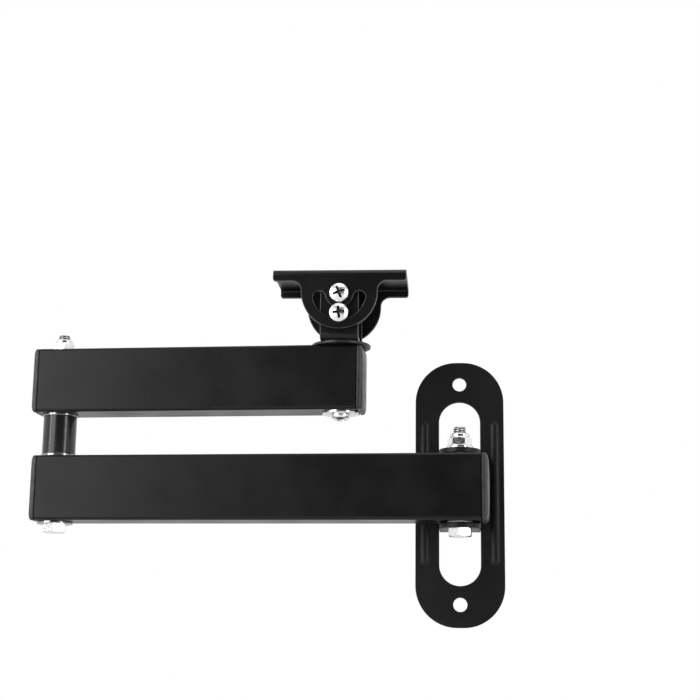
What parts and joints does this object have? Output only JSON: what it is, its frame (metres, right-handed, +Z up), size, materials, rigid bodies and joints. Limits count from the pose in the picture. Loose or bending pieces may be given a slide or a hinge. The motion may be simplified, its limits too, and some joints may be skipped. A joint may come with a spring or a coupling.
{
  "type": "swing-arm wall bracket",
  "caption": "Folding swing-arm wall bracket with a slotted wall plate, rectangular-tube arms and a swivel and tilt head with a flat platform for a small projector.",
  "frame": {"origin": "middle of the wall plate's back face, midway between its two screw holes", "axes": "+Y into the wall, +Z up, +X to the right seen from the room; the arms are folded flat to the left"},
  "size_m": [0.2253, 0.0415, 0.1643],
  "materials": {
    "black_paint": "satin black powder coat",
    "gloss_paint": "glossy black paint",
    "black_plastic": "moulded black plastic",
    "white_nylon": "natural nylon",
    "bright_zinc": "bright zinc plate"
  },
  "bodies": {
    "wall_mount": {"wall_plate": "black_paint", "wall_pivot_bolt": "bright_zinc", "wall_pivot_washer": "bright_zinc", "wall_pivot_nut": "bright_zinc", "wall_bush_top": "white_nylon", "wall_bush_bottom": "white_nylon"},
    "lower_arm": {"lower_arm_tube": "black_paint", "lower_arm_cap_wall": "black_plastic", "lower_arm_cap_elbow": "black_plastic", "lower_arm_sleeve_wall": "bright_zinc", "lower_arm_sleeve_elbow": "bright_zinc", "elbow_bolt": "bright_zinc", "elbow_bolt_washer": "bright_zinc", "elbow_washer_lower": "bright_zinc", "elbow_spacer": "gloss_paint", "elbow_washer_upper": "bright_zinc", "elbow_nut": "bright_zinc"},
    "upper_arm": {"upper_arm_tube": "black_paint", "upper_arm_cap_elbow": "black_plastic", "upper_arm_cap_head": "black_plastic", "upper_arm_sleeve_elbow": "bright_zinc", "upper_arm_sleeve_head": "bright_zinc", "head_screw": "bright_zinc", "head_screw_washer": "bright_zinc", "head_nut": "bright_zinc", "swivel_disc": "black_plastic"},
    "swivel_head": {"swivel_bracket": "black_paint", "tilt_screw_front": "bright_zinc", "tilt_screw_rear": "bright_zinc", "tilt_nut_front": "bright_zinc", "tilt_nut_rear": "bright_zinc", "lock_screw": "bright_zinc", "lock_nut": "bright_zinc"},
    "tilt_head": {"tilt_bracket": "black_paint"}
  },
  "joints": [
    {"name": "wall_swing", "type": "hinge", "parent": "wall_mount", "child": "lower_arm", "pos_m": [0, -0.024, 0], "axis": [0, 0, 1], "range_deg": [0, 186]},
    {"name": "elbow", "type": "hinge", "parent": "lower_arm", "child": "upper_arm", "pos_m": [-0.19194, -0.01394, 0.05], "axis": [0, 0, 1], "continuous": true},
    {"name": "head_swivel", "type": "hinge", "parent": "upper_arm", "child": "swivel_head", "pos_m": [-0.05602, -0.02106, 0.0678], "axis": [0, 0, 1], "continuous": true},
    {"name": "head_tilt", "type": "hinge", "parent": "swivel_head", "child": "tilt_head", "pos_m": [-0.05602, -0.02106, 0.0893], "axis": [0, 1, 0], "range_deg": [-52, 52]}
  ]
}
